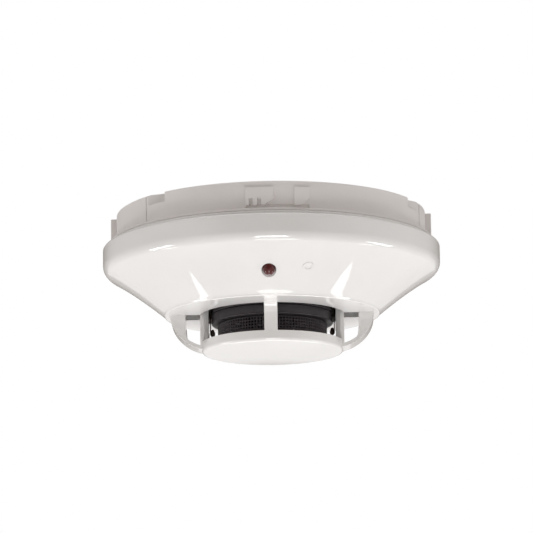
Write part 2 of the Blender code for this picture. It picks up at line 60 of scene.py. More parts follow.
# Sizes read from the frame
BASE_BOTTOM = node_range("base_shell", 2)[0]
HEAD_RADIUS = node_range("outer_cover", 0)[1]
COVER_BOTTOM, COVER_TOP = node_range("outer_cover", 2)
BOARD_BOTTOM, BOARD_TOP = node_range("circuit_board", 2)
CHAMBER_BOTTOM, CHAMBER_TOP = node_range("chamber_cover", 2)
SCREEN_BOTTOM, SCREEN_TOP = node_range("insect_screen", 2)
SCREEN_RADIUS = node_range("insect_screen", 0)[1]
LED_TIP = node_range("status_led", 2)[0]
LED_CENTRE_Y = sum(node_range("status_led", 1)) / 2


# Mesh helpers

WORK = bpy.data.collections.new("work")
bpy.context.scene.collection.children.link(WORK)
SCENE_COLLECTION = bpy.context.scene.collection


def polar(radius, angle):
    """A point in plan, from its radius and its angle from the front."""
    turn = math.radians(angle)
    return radius * math.sin(turn), -radius * math.cos(turn)


def facing(angle):
    """The turn about Z that points a piece's own +X outward at an angle from the front."""
    return math.radians(angle - 90)


def arc(centre, radius, start, end, count):
    """Points on an arc. A radius may be a pair, for an ellipse. Angles are from +X, in degrees."""
    across, along = radius if isinstance(radius, tuple) else (radius, radius)
    turns = [math.radians(start + (end - start) * i / count) for i in range(count + 1)]
    return [(centre[0] + across * math.cos(t), centre[1] + along * math.sin(t)) for t in turns]


def bezier(start, control, end, count):
    """Points on a quadratic curve, without its first one."""
    points = []
    for i in range(1, count + 1):
        t = i / count
        weights = ((1 - t) ** 2, 2 * t * (1 - t), t * t)
        points.append(tuple(sum(w * p[k] for w, p in zip(weights, (start, control, end)))
                            for k in range(2)))
    return points


def sector(inner, outer, start, end, step=2.0):
    """The outline of a piece of a ring between two angles."""
    count = max(2, round(abs(end - start) / step))
    angles = [start + (end - start) * i / count for i in range(count + 1)]
    return [polar(outer, a) for a in angles] + [polar(inner, a) for a in reversed(angles)]


def circle(radius, count, x=0.0, y=0.0):
    turns = [2 * math.pi * i / count for i in range(count)]
    return [(x + radius * math.cos(t), y + radius * math.sin(t)) for t in turns]


def new_object(name, mesh):
    obj = bpy.data.objects.new(name, mesh)
    WORK.objects.link(obj)
    return obj


def bake(obj):
    """Turn an object's modifiers into its mesh."""
    bpy.context.view_layer.update()
    depsgraph = bpy.context.evaluated_depsgraph_get()
    mesh = bpy.data.meshes.new_from_object(obj.evaluated_get(depsgraph))
    obj.modifiers.clear()
    obj.data = mesh
    return obj


def turned(name, profile, steps=TURN_STEPS, closed=True):
    """Turn (radius, height) points about Z. The profile runs down its outer side."""
    count = len(profile)
    edges = [(i, i + 1) for i in range(count - 1)]
    if closed:
        edges.append((count - 1, 0))
    mesh = bpy.data.meshes.new(name)
    mesh.from_pydata([(r * MM, 0.0, z * MM) for r, z in profile], edges, [])
    obj = new_object(name, mesh)
    screw = obj.modifiers.new("turn", "SCREW")
    screw.steps = steps
    screw.render_steps = steps
    screw.use_merge_vertices = True
    screw.merge_threshold = 0.000005
    return bake(obj)


def flat_solid(name, outlines, low, high):
    """Extrude flat outlines between two heights. An outline inside another is a hole."""
    curve = bpy.data.curves.new(name, "CURVE")
    curve.dimensions = "2D"
    curve.fill_mode = "BOTH"
    curve.extrude = (high - low) / 2 * MM
    for outline in outlines:
        spline = curve.splines.new("POLY")
        spline.points.add(len(outline) - 1)
        for point, (x, y) in zip(spline.points, outline):
            point.co = (x * MM, y * MM, 0.0, 1.0)
        spline.use_cyclic_u = True
    guide = new_object(name + "_guide", curve)
    bpy.context.view_layer.update()
    depsgraph = bpy.context.evaluated_depsgraph_get()
    mesh = bpy.data.meshes.new_from_object(guide.evaluated_get(depsgraph))
    bpy.data.objects.remove(guide)
    weld(mesh, 0.000001)
    obj = new_object(name, mesh)
    obj.location.z = (low + high) / 2 * MM
    return obj


def weld(mesh, distance):
    shape = bmesh.new()
    shape.from_mesh(mesh)
    bmesh.ops.remove_doubles(shape, verts=shape.verts, dist=distance)
    bmesh.ops.recalc_face_normals(shape, faces=shape.faces)
    shape.to_mesh(mesh)
    shape.free()


def side_solid(name, outlines, half_width, angle):
    """Extrude (radius, height) outlines sideways, standing up at an angle from the front."""
    obj = flat_solid(name, outlines, -half_width, half_width)
    obj.rotation_euler = (math.radians(90), 0.0, facing(angle))
    return obj


def cylinder(name, radius, low, high, place=(0.0, 0.0), steps=48):
    shape = bmesh.new()
    bmesh.ops.create_cone(shape, cap_ends=True, segments=steps, radius1=radius * MM,
                          radius2=radius * MM, depth=(high - low) * MM)
    mesh = bpy.data.meshes.new(name)
    shape.to_mesh(mesh)
    shape.free()
    obj = new_object(name, mesh)
    obj.location = (place[0] * MM, place[1] * MM, (low + high) / 2 * MM)
    return obj


def bevel(obj, width, segments=3, angle=40):
    """Round an object's sharp edges."""
    modifier = obj.modifiers.new("bevel", "BEVEL")
    modifier.width = width * MM
    modifier.segments = segments
    modifier.limit_method = "ANGLE"
    modifier.angle_limit = math.radians(angle)
    modifier.use_clamp_overlap = True
    modifier.harden_normals = False
    return obj


def combine(obj, others, operation):
    """Join or cut other objects, which are used up."""
    for other in others:
        modifier = obj.modifiers.new(other.name, "BOOLEAN")
        modifier.object = other
        modifier.operation = operation
        modifier.solver = "EXACT"
    bake(obj)
    for other in others:
        bpy.data.objects.remove(other)
    return obj


def join(obj, *others):
    return combine(obj, others, "UNION")


def cut(obj, *others):
    return combine(obj, others, "DIFFERENCE")


def settle(obj, body, material, nodes=(), sharp=35):
    """Finish a piece: shading, material, body, and the CAD nodes that it stands for."""
    bake(obj)
    obj.data.transform(obj.matrix_world)
    obj.matrix_world = Matrix.Identity(4)
    WORK.objects.unlink(obj)
    SCENE_COLLECTION.objects.link(obj)
    obj.data.materials.clear()
    obj.data.materials.append(material)
    obj.data.shade_smooth()
    obj.data.set_sharp_from_angle(angle=math.radians(sharp))
    normals = obj.modifiers.new("normals", "WEIGHTED_NORMAL")
    normals.keep_sharp = True
    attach(obj, body)
    if nodes:
        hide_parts(*nodes)
    return obj


# Materials

def start_material(name):
    material = bpy.data.materials.new(name)
    material.use_nodes = True
    nodes = material.node_tree.nodes
    return material, nodes, material.node_tree.links, nodes["Principled BSDF"]


def add_noise(nodes, links, scale, detail=3.0, roughness=0.5):
    """A noise in the piece's own space. Its scale is in features a metre."""
    place = nodes.new("ShaderNodeTexCoord")
    noise = nodes.new("ShaderNodeTexNoise")
    noise.inputs["Scale"].default_value = scale
    noise.inputs["Detail"].default_value = detail
    noise.inputs["Roughness"].default_value = roughness
    links.new(place.outputs["Object"], noise.inputs["Vector"])
    return noise


def add_range(nodes, links, source, low, high, from_low=0.3, from_high=0.7):
    """Map a noise to a range of values."""
    mapped = nodes.new("ShaderNodeMapRange")
    mapped.inputs["From Min"].default_value = from_low
    mapped.inputs["From Max"].default_value = from_high
    mapped.inputs["To Min"].default_value = low
    mapped.inputs["To Max"].default_value = high
    links.new(source, mapped.inputs["Value"])
    return mapped.outputs["Result"]


def add_tint(nodes, links, source, dark, light, low=0.35, high=0.65):
    """Mix two near colours by a noise."""
    ramp = nodes.new("ShaderNodeValToRGB")
    ramp.color_ramp.elements[0].position = low
    ramp.color_ramp.elements[0].color = (*dark, 1.0)
    ramp.color_ramp.elements[1].position = high
    ramp.color_ramp.elements[1].color = (*light, 1.0)
    links.new(source, ramp.inputs["Fac"])
    return ramp.outputs["Color"]


def add_bump(nodes, links, shader, height, strength, distance):
    bump = nodes.new("ShaderNodeBump")
    bump.inputs["Strength"].default_value = strength
    bump.inputs["Distance"].default_value = distance * MM
    links.new(height, bump.inputs["Height"])
    links.new(bump.outputs["Normal"], shader.inputs["Normal"])
    return bump


def moulded_plastic(name, dark, light, rough, grain, grain_depth, specular=0.5):
    """Moulded plastic: a faint cloudy tint, polish that varies, and a fine mould grain."""
    material, nodes, links, shader = start_material(name)
    cloud = add_noise(nodes, links, 35.0)
    links.new(add_tint(nodes, links, cloud.outputs["Fac"], dark, light), shader.inputs["Base Color"])
    polish = add_noise(nodes, links, 160.0, detail=4.0)
    polish_range = add_range(nodes, links, polish.outputs["Fac"], rough[0], rough[1])
    links.new(polish_range, shader.inputs["Roughness"])
    fine = add_noise(nodes, links, grain, detail=2.0, roughness=0.6)
    add_bump(nodes, links, shader, fine.outputs["Fac"], 1.0, grain_depth)
    shader.inputs["Specular IOR Level"].default_value = specular
    return material


def plated_metal(name, dark, light, rough, stretch=(1.0, 1.0, 1.0)):
    """Metal with a cloudy plating and fine drawn lines."""
    material, nodes, links, shader = start_material(name)
    shader.inputs["Metallic"].default_value = 1.0
    cloud = add_noise(nodes, links, 300.0)
    links.new(add_tint(nodes, links, cloud.outputs["Fac"], dark, light), shader.inputs["Base Color"])
    lines = add_noise(nodes, links, 1400.0, detail=3.0)
    place = nodes.new("ShaderNodeMapping")
    place.inputs["Scale"].default_value = stretch
    links.new(lines.inputs["Vector"].links[0].from_socket, place.inputs["Vector"])
    links.new(place.outputs["Vector"], lines.inputs["Vector"])
    line_range = add_range(nodes, links, lines.outputs["Fac"], rough[0], rough[1])
    links.new(line_range, shader.inputs["Roughness"])
    add_bump(nodes, links, shader, lines.outputs["Fac"], 0.6, 0.01)
    return material


def board_mask():
    """Green solder mask over copper: tracks show as lighter, slightly raised lines."""
    material, nodes, links, shader = start_material("board_green")
    place = nodes.new("ShaderNodeTexCoord")
    tracks = nodes.new("ShaderNodeTexBrick")
    tracks.inputs["Scale"].default_value = 330.0
    tracks.inputs["Mortar Size"].default_value = 0.035
    tracks.inputs["Mortar Smooth"].default_value = 0.2
    tracks.offset = 0.35
    tracks.squash = 0.6
    tracks.squash_frequency = 3
    tracks.inputs["Color1"].default_value = (0.012, 0.085, 0.035, 1.0)
    tracks.inputs["Color2"].default_value = (0.015, 0.105, 0.042, 1.0)
    tracks.inputs["Mortar"].default_value = (0.035, 0.20, 0.075, 1.0)
    links.new(place.outputs["Object"], tracks.inputs["Vector"])
    links.new(tracks.outputs["Color"], shader.inputs["Base Color"])
    polish = add_noise(nodes, links, 250.0)
    links.new(add_range(nodes, links, polish.outputs["Fac"], 0.25, 0.4), shader.inputs["Roughness"])
    add_bump(nodes, links, shader, tracks.outputs["Fac"], 0.6, 0.05)
    return material


def tinted_epoxy(name, color, rough, transmission):
    """Clear or tinted resin with a little flow in its surface."""
    material, nodes, links, shader = start_material(name)
    flow = add_noise(nodes, links, 700.0, detail=1.0)
    lighter = tuple(min(1.0, c * 1.25 + 0.01) for c in color)
    links.new(add_tint(nodes, links, flow.outputs["Fac"], color, lighter), shader.inputs["Base Color"])
    flow_range = add_range(nodes, links, flow.outputs["Fac"], rough * 0.8, rough * 1.3)
    links.new(flow_range, shader.inputs["Roughness"])
    add_bump(nodes, links, shader, flow.outputs["Fac"], 0.3, 0.02)
    shader.inputs["Transmission Weight"].default_value = transmission
    shader.inputs["IOR"].default_value = 1.5
    return material


COVER_WHITE = moulded_plastic("cover_white", (0.80, 0.785, 0.77), (0.83, 0.815, 0.80),
                              (0.035, 0.06), 2600.0, 0.0015, specular=0.75)
BASE_WHITE = moulded_plastic("base_white", (0.785, 0.755, 0.735), (0.815, 0.785, 0.765),
                             (0.38, 0.50), 2200.0, 0.012)
CHAMBER_BLACK = moulded_plastic("chamber_black", (0.040, 0.035, 0.039), (0.052, 0.046, 0.050),
                                (0.38, 0.55), 3200.0, 0.03)
SCREEN_BLACK = moulded_plastic("screen_black", (0.090, 0.079, 0.086), (0.115, 0.102, 0.110),
                               (0.35, 0.5), 4000.0, 0.02)
PACKAGE_BLACK = moulded_plastic("package_black", (0.018, 0.018, 0.019), (0.03, 0.03, 0.031),
                                (0.45, 0.6), 5200.0, 0.02)
SLEEVE_BLUE = moulded_plastic("sleeve_blue", (0.03, 0.05, 0.16), (0.045, 0.07, 0.20),
                              (0.25, 0.35), 900.0, 0.02)
BEAD_DARK = moulded_plastic("bead_dark", (0.055, 0.030, 0.024), (0.085, 0.05, 0.04),
                            (0.25, 0.4), 1500.0, 0.05)
BOARD_GREEN = board_mask()
PLATED_STEEL = plated_metal("plated_steel", (0.62, 0.62, 0.60), (0.72, 0.72, 0.71), (0.2, 0.38),
                            (1.0, 6.0, 1.0))
CONTACT_BRASS = plated_metal("contact_brass", (0.66, 0.49, 0.22), (0.78, 0.60, 0.30), (0.2, 0.35),
                             (6.0, 1.0, 1.0))
LED_RED = tinted_epoxy("led_red", (0.085, 0.006, 0.006), 0.07, 0.15)
CLEAR_GLASS = tinted_epoxy("clear_glass", (0.75, 0.82, 0.80), 0.05, 0.9)
OPTIC_DARK = tinted_epoxy("optic_dark", (0.05, 0.02, 0.06), 0.12, 0.2)


# Outer cover

HOLE_RADIUS = 27.3
CAGE_RADIUS = 26.6
RING_LEVEL = -39.0
CAP_TOP = -49.15
SKIRT_TOP = -13.9
SKIRT_BOTTOM = -19.5
CORNER = 4.3
LED_HOLE_RADIUS = 2.7
SHOULDER_RADIUS = 62.35
LIP_RADIUS = 0.8
GUARD_HALF_WIDTH = 5.3
GUARD_OPENING = (27.0, 32.5)    # radii of the opening in a guard
POST_HALF_WIDTH = 2.46
MARK_PITCH_RADIUS = 51.0
MARK_ANGLE = 16.3
CONE_START = (HEAD_RADIUS - CORNER + CORNER * math.cos(math.radians(58)),
              SKIRT_BOTTOM - CORNER * math.sin(math.radians(58)))
CONE_CONTROL = (52.94, -28.1)
CONE_END = (40.9, -38.15)


def cone_height(radius):
    """Height of the cone's outer surface at a radius."""
    points = [CONE_START] + bezier(CONE_START, CONE_CONTROL, CONE_END, 60)
    for (r1, z1), (r2, z2) in zip(points, points[1:]):
        if r2 <= radius <= r1:
            return z1 + (z2 - z1) * (r1 - radius) / (r1 - r2)
    raise ValueError("this radius isn't on the cone")


def cover_profile():
    """The wall of the cover from its top edge, down the outside and back up the inside."""
    outside = [(60.9, COVER_TOP + 0.2), (61.2, COVER_TOP - 0.05), (61.2, -12.75)]
    outside += arc((SHOULDER_RADIUS, SKIRT_TOP), (HEAD_RADIUS - SHOULDER_RADIUS, 0.95), 90, 0, 8)
    outside += arc((HEAD_RADIUS - CORNER, SKIRT_BOTTOM), CORNER, 0, -58, 14)
    outside += bezier(CONE_START, CONE_CONTROL, CONE_END, 20)
    outside += arc((39.9, RING_LEVEL + LIP_RADIUS), LIP_RADIUS, -20, -90, 6)
    outside += [(HOLE_RADIUS + 8.0, RING_LEVEL), (HOLE_RADIUS + 3.0, RING_LEVEL)]
    outside += arc((HOLE_RADIUS + 0.3, RING_LEVEL + 0.3), 0.3, -90, -180, 4)
    inside = [(HOLE_RADIUS, RING_LEVEL + 2.0), (39.0, RING_LEVEL + 2.0)]
    inside += bezier((41.0, -35.3), (50.6, -26.5), (59.0, -22.2), 10)
    inside += [(60.6, -20.9), (61.4, -19.0), (61.4, -15.6), (59.7, -13.8), (59.7, COVER_TOP + 0.2)]
    return outside + inside


def guard(name, angle):
    """A D-shaped guard beside a heat bead: an elliptic outer edge and a D-shaped hole."""
    outer = arc((21.4, RING_LEVEL), (16.8, 13.75), 0, -72, 22)
    outline = [(38.2, RING_LEVEL + 0.8)] + outer + [(25.6, -52.2), (25.6, RING_LEVEL + 0.8)]
    near, far = GUARD_OPENING
    hole = [(far, RING_LEVEL + 0.3), (far, -41.9)]
    hole += bezier((far, -41.9), (32.45, -45.3), (32.0, -47.6), 5)
    hole += bezier((32.0, -47.6), (31.8, -48.2), (31.2, -48.6), 3)
    hole += bezier((31.2, -48.6), (29.4, -49.8), (near, -50.6), 6)
    hole += [(near, RING_LEVEL + 0.3)]
    return bevel(side_solid(name, [outline, hole], GUARD_HALF_WIDTH, angle), 0.45, 4, angle=50)


def post(name, angle):
    """A post between the ring and the end cap, flared where it meets the ring."""
    flare = bezier((28.6, RING_LEVEL), (27.2, RING_LEVEL - 0.4), (26.6, RING_LEVEL - 4.0), 8)
    outline = [(25.4, RING_LEVEL + 1.2), (28.6, RING_LEVEL + 1.2), (28.6, RING_LEVEL)] + flare
    outline += [(26.55, CAP_TOP - 0.5), (25.4, CAP_TOP - 0.5)]
    return bevel(side_solid(name, [outline], POST_HALF_WIDTH, angle), 0.3, 3, angle=50)


def leg(name, side):
    """The wall between a guard and the chamber, with slanted faces towards the heat bead."""
    outline = [(26.7, -5.3), (25.6, -5.3), (23.8, -4.6), (23.8, 4.6), (25.6, 5.3), (26.7, 5.3)]
    solid = flat_solid(name, [[(side * x, y) for x, y in outline]], CAP_TOP - 0.5, RING_LEVEL + 3.5)
    return bevel(solid, 0.2, 3, angle=15)


def end_cap():
    """The slightly crowned disc that closes the cage."""
    profile = [(0.0, CAP_TOP), (CAGE_RADIUS - 0.6, CAP_TOP), (CAGE_RADIUS - 0.12, CAP_TOP - 0.04),
               (CAGE_RADIUS, CAP_TOP - 0.16)]
    profile += arc((CAGE_RADIUS - 1.3, -51.85), 1.3, 0, -82, 10)
    profile += [(12.0, COVER_BOTTOM + 0.1), (0.0, COVER_BOTTOM)]
    return turned("end_cap", profile, closed=False)


def magnet_mark():
    """A low ring on the cone that shows where a test magnet goes."""
    profile = [(1.25, -0.5), (1.25, 0.1), (1.4, 0.2), (1.95, 0.2), (2.1, 0.1), (2.1, -0.5)]
    ring = turned("magnet_mark", list(reversed(profile)), steps=48)
    step = 0.5
    rise = cone_height(MARK_PITCH_RADIUS + step) - cone_height(MARK_PITCH_RADIUS - step)
    slope = math.atan2(rise, 2 * step)
    x, y = polar(MARK_PITCH_RADIUS, MARK_ANGLE)
    ring.location = (x * MM, y * MM, cone_height(MARK_PITCH_RADIUS) * MM)
    ring.rotation_euler = (0.0, math.radians(180) - slope, facing(MARK_ANGLE))
    return ring


def led_hole():
    """The cutter of the LED's hole, which runs upright through the cone."""
    mouth = cone_height(-LED_CENTRE_Y)
    return cylinder("led_hole", LED_HOLE_RADIUS, mouth - 8.0, mouth + 8.0, (0.0, LED_CENTRE_Y), steps=64)


def make_cover():
    """The whole outer cover: one moulding, with its posts, guards, cap and mark."""
    cover = turned("cover_moulding", cover_profile())
    pieces = [post("post_front", 0), post("post_back", 180), leg("leg_right", 1), leg("leg_left", -1),
              guard("guard_right", 90), guard("guard_left", 270)]
    for piece in pieces:
        bake(piece)
    join(cover, *pieces, end_cap())
    near, far = GUARD_OPENING
    openings = [[(side * x, y) for x, y in ((near, -5.0), (far, -5.0), (far, 5.0), (near, 5.0))]
                for side in (-1, 1)]
    cut(cover, flat_solid("guard_openings", openings, RING_LEVEL - 0.35, RING_LEVEL + 3.0))
    cut(cover, led_hole())
    join(cover, magnet_mark())
    return settle(cover, "cover", COVER_WHITE, ["outer_cover"], sharp=28)


# Mounting base

BASE_RADIUS = 58.0
WALL = 2.2
PLATE = 2.5
CABLE_OPENING = 17.5
NOTCHES = ((-51.0, -40.9), (73.5, 62.5))
NOTCH_BOTTOM = -3.8
NOTCH_SETBACK = 5.6
COMB_KEY = (-8.0, 2.2)
COMB_SLOTS = ((-6.5, -5.2), (-3.6, -2.3))
PLAIN_KEY = (9.5, 15.2)
TERMINAL_ANGLES = (51, 141, 201, 291)
BAYONET_ANGLES = (0, 120, 240)
TERMINAL_PITCH_RADIUS = 48.5


def base_profile():
    """The base's plate, wall and flange, from the cable opening outward and back."""
    inner = BASE_RADIUS - WALL
    rim = BASE_BOTTOM
    profile = [(CABLE_OPENING, -0.3), (CABLE_OPENING + 0.3, 0.0), (BASE_RADIUS - 0.7, 0.0)]
    profile += arc((BASE_RADIUS - 0.7, -0.7), 0.7, 90, 0, 5)
    profile += arc((BASE_RADIUS + 0.35, rim + 1.25), 0.35, 180, 270, 4)
    profile += arc((60.6, rim + 0.75), 0.2, 90, 0, 3) + arc((60.25, rim + 0.55), 0.55, 0, -90, 6)
    profile += [(inner, rim), (inner, -PLATE - 0.5), (inner - 0.5, -PLATE)]
    profile += [(CABLE_OPENING + 0.3, -PLATE), (CABLE_OPENING, -PLATE + 0.3)]
    return profile


def notch_pieces(number, far, near):
    """The straight wall behind a cable notch, and the cutter of the notch."""
    far_in, far_out = polar(BASE_RADIUS + 0.6, far), polar(BASE_RADIUS + 4.0, far)
    near_out, near_edge = polar(BASE_RADIUS + 4.0, near), polar(BASE_RADIUS, near)
    inset = polar(BASE_RADIUS - NOTCH_SETBACK * 0.7, near)
    along = math.hypot(inset[0] - far_in[0], inset[1] - far_in[1])
    out_x, out_y = (far_in[0] - inset[0]) / along, (far_in[1] - inset[1]) / along
    side = 1 if near > 0 else -1
    across = (-out_y * side * WALL, out_x * side * WALL)
    start = (inset[0] - out_x * 2.5, inset[1] - out_y * 2.5)
    stop = (far_in[0] - out_x * 2.4, far_in[1] - out_y * 2.4)
    back = [(x + share * across[0], y + share * across[1])
            for (x, y), share in ((start, -0.3), (stop, -0.3), (stop, 1.0), (start, 1.0))]
    wall = flat_solid(f"notch_back_{number}", [back], -8.6, -2.0)
    cutter = flat_solid(f"notch_{number}", [[far_in, far_out, near_out, near_edge, inset]],
                        NOTCH_BOTTOM, 2.0)
    return wall, cutter


def key(name, span):
    """A raised key in the front panel, with a slanted lower right corner."""
    top, corner, bottom = -2.5, -6.6, -9.2
    left, right = (math.radians(a) * BASE_RADIUS for a in span)
    middle = (left + right) / 2
    outline = [(left, top), (left, bottom), (right - 3.2, bottom), (right, corner), (right, top)]
    obj = flat_solid(name, [[(x - middle, z) for x, z in outline]], -1.0, 1.0)
    centre = (span[0] + span[1]) / 2
    x, y = polar(BASE_RADIUS - 0.12, centre)
    obj.location = (x * MM, y * MM, 0.0)
    obj.rotation_euler = (math.radians(90), 0.0, math.radians(centre))
    return obj


def make_base():
    """The mounting base with its notches, keys, tabs, ledges and terminal pads."""
    rim = BASE_BOTTOM
    base = turned("base_moulding", base_profile())
    side_span = sector(57.1, BASE_RADIUS + 0.3, NOTCHES[1][0], 360 + NOTCHES[0][0], step=1.5)
    side_wall = flat_solid("side_wall", [side_span], rim + 0.6, -0.5)
    bevel(side_wall, 0.25, 2, angle=60)
    bake(side_wall)
    ledges = flat_solid("ledges", [sector(51.2, 56.6, a - 8, a + 8) for a in BAYONET_ANGLES],
                        -8.0, -6.3)
    tabs = flat_solid("tabs", [sector(56.7, 60.6, a - 1.4, a + 1.4) for a in (90, 270)],
                      rim + 0.5, -0.8)
    pads = flat_solid("pads", [sector(44.2, 53.4, a - 6, a + 6) for a in TERMINAL_ANGLES],
                      -3.1, -1.6)
    join(base, side_wall, bake(bevel(ledges, 0.3)), bake(bevel(tabs, 0.3)), bake(bevel(pads, 0.2)))
    for number, (far, near) in enumerate(NOTCHES):
        wall, cutter = notch_pieces(number, far, near)
        join(base, wall)
        cut(base, cutter)
    cut(base, flat_solid("panel", [sector(57.5, 62.0, COMB_KEY[0] + 0.1, PLAIN_KEY[1] - 0.1)],
                         rim + 1.0, -8.8))
    comb_slots = [sector(56.0, 62.0, *span) for span in COMB_SLOTS]
    comb = cut(key("comb_key", COMB_KEY), flat_solid("comb_slots", comb_slots, -10.0, -6.6))
    join(base, bake(bevel(comb, 0.12, 2)), bake(bevel(key("plain_key", PLAIN_KEY), 0.12, 2)))

    slot_outline = arc((40.0, 0.0), 2.0, -90, 90, 12) + arc((31.0, 0.0), 2.0, 90, 270, 12)
    slots = [[(side * x, y) for x, y in slot_outline] for side in (-1, 1)]
    cut(base, flat_solid("screw_slots", slots, -PLATE - 1.0, 1.0))
    holes = flat_solid("terminal_holes", [circle(1.8, 32, *polar(TERMINAL_PITCH_RADIUS, a))
                                          for a in TERMINAL_ANGLES], -4.1, -0.7)
    cut(base, holes)
    return settle(base, "base", BASE_WHITE, ["base_shell"], sharp=28)


# Sensing chamber

BAND_BOTTOM = -42.2
BAND_RADIUS = 22.6
VANE_COUNT = 18
SCREEN_PITCH = 1.2
SCREEN_WIRE = 0.62
LEG_SLOT = (22.85, 23.85)       # radii of the slots in the cup for the heat beads' wires


def make_chamber():
    """The labyrinth: a smooth band with a rounded edge, slanted vanes and a closed end."""
    outer, inner = BAND_RADIUS, BAND_RADIUS - 0.6
    band = [(outer - 0.2, CHAMBER_TOP), (outer, CHAMBER_TOP - 0.2), (outer, BAND_BOTTOM + 0.75)]
    band += arc((outer - 0.15, BAND_BOTTOM + 0.35), 0.35, 65, -60, 6)
    band += [(outer - 0.1, BAND_BOTTOM), (14.8, BAND_BOTTOM), (14.8, BAND_BOTTOM + 0.7),
             (inner, BAND_BOTTOM + 0.7), (inner, CHAMBER_TOP)]
    cover = turned("chamber_labyrinth", band, steps=160)
    end_top = CHAMBER_BOTTOM + 0.9
    end = turned("chamber_end", [(0.0, end_top), (20.4, end_top), (20.6, end_top - 0.2),
                                 (20.6, CHAMBER_BOTTOM + 0.2), (20.4, CHAMBER_BOTTOM),
                                 (0.0, CHAMBER_BOTTOM)], steps=160, closed=False)
    vanes = []
    slant = math.radians(38)
    for i in range(VANE_COUNT):
        x, y = polar(17.0, 360 * i / VANE_COUNT)
        turn = facing(360 * i / VANE_COUNT) + slant
        corners = arc((2.1, 0.0), 0.38, -90, 90, 4) + arc((-2.1, 0.0), 0.38, 90, 270, 4)
        vanes.append([(x + u * math.cos(turn) - v * math.sin(turn),
                       y + u * math.sin(turn) + v * math.cos(turn)) for u, v in corners])
    join(cover, flat_solid("vanes", vanes, -48.3, BAND_BOTTOM + 0.3), end)
    return settle(cover, "head", CHAMBER_BLACK, ["chamber_cover"])


def make_screen():
    """Square mesh: a band of wires, one pitch apart."""
    radius = SCREEN_RADIUS - 0.2
    count = round(2 * math.pi * radius / SCREEN_PITCH)
    rows = round((SCREEN_TOP - SCREEN_BOTTOM - 0.6) / SCREEN_PITCH)
    low, high = SCREEN_BOTTOM + 0.3, SCREEN_TOP - 0.3
    shape = bmesh.new()
    rings = []
    for row in range(rows + 1):
        height = low + (high - low) * row / rows
        rings.append([shape.verts.new((radius * MM * math.cos(2 * math.pi * i / count),
                                       radius * MM * math.sin(2 * math.pi * i / count), height * MM))
                      for i in range(count)])
    for below, above in zip(rings, rings[1:]):
        for i in range(count):
            shape.faces.new((below[i], below[(i + 1) % count], above[(i + 1) % count], above[i]))
    mesh = bpy.data.meshes.new("screen_wires")
    shape.to_mesh(mesh)
    shape.free()
    screen = new_object("screen_mesh", mesh)
    wires = screen.modifiers.new("wires", "WIREFRAME")
    wires.thickness = SCREEN_WIRE * MM
    wires.use_even_offset = False
    wires.use_boundary = True
    return settle(screen, "head", SCREEN_BLACK, ["insect_screen"])


def make_chamber_base():
    """The black cup that reaches down to the cover's mouth and carries the chamber."""
    top = BOARD_BOTTOM - 0.3
    floor, face, wall = -36.3, -38.3, BAND_RADIUS
    profile = [(0.0, floor), (wall - 0.6, floor), (wall - 0.6, top), (26.8, top), (27.0, top - 0.2),
               (27.0, top - 1.8), (26.8, top - 2.0), (wall, top - 2.0), (wall, face + 0.2),
               (wall - 0.2, face), (0.0, face)]
    cup = turned("chamber_cup", profile, steps=160, closed=False)
    near, far = LEG_SLOT
    slots = [[(side * x, y) for x, y in ((near, -0.85), (far, -0.85), (far, 0.85), (near, 0.85))]
             for side in (-1, 1)]
    cut(cup, flat_solid("leg_slots", slots, top - 3.0, top + 1.0))
    return settle(cup, "head", CHAMBER_BLACK, ["chamber_base"])


# Heat beads and status LED

BEAD_PITCH_RADIUS = 22.5
BEAD_WIRE_RADIUS = 23.3


def make_bead(side, angle):
    """A drop-shaped bead of resin on two thin wires."""
    x, y = polar(BEAD_PITCH_RADIUS, angle)
    centre, radius, drop = -45.6, 0.95, 1.05
    profile = [(0.0, centre + 1.9)]
    profile += bezier((0.3, centre + 1.85), (0.6, centre + 1.5), (0.7, centre + 1.0), 5)
    profile += bezier((0.7, centre + 1.0), (0.92, centre + 0.6), (radius, centre + 0.1), 5)
    profile += arc((0.0, centre), (radius, drop), -5, -90, 10)[:-1] + [(0.0, centre - drop)]
    bead = turned(f"heat_bead_{side}", profile, steps=32, closed=False)
    bead.location = (x * MM, y * MM, 0.0)
    wire_x = polar(BEAD_WIRE_RADIUS, angle)[0]
    wires = [cylinder(f"wire_{side}_{k}", 0.2, centre, BOARD_BOTTOM - 0.3, (wire_x, y + shift), steps=16)
             for k, shift in enumerate((-0.35, 0.35))]
    join(bead, *wires)
    return settle(bead, "head", BEAD_DARK, [f"thermistor_{side}"], sharp=50)


def make_led():
    """A domed 5 mm LED with its collar and two legs."""
    dome = 2.3
    centre = LED_TIP + dome
    profile = [(0.0, -24.6), (2.55, -24.6), (2.7, -24.75), (2.7, -25.5), (2.6, -25.6), (dome, -25.65)]
    profile += arc((0.0, centre), dome, 0, -90, 12)[:-1] + [(0.0, LED_TIP)]
    led = turned("led_body", profile, steps=48, closed=False)
    led.location.y = LED_CENTRE_Y * MM
    legs = [cylinder(f"led_leg_{k}", 0.28, -25.2, BOARD_BOTTOM - 0.3, (shift, LED_CENTRE_Y), steps=12)
            for k, shift in enumerate((-1.27, 1.27))]
    join(led, *legs)
    return settle(led, "head", LED_RED, ["status_led"], sharp=50)


# CAD pieces that keep their shape

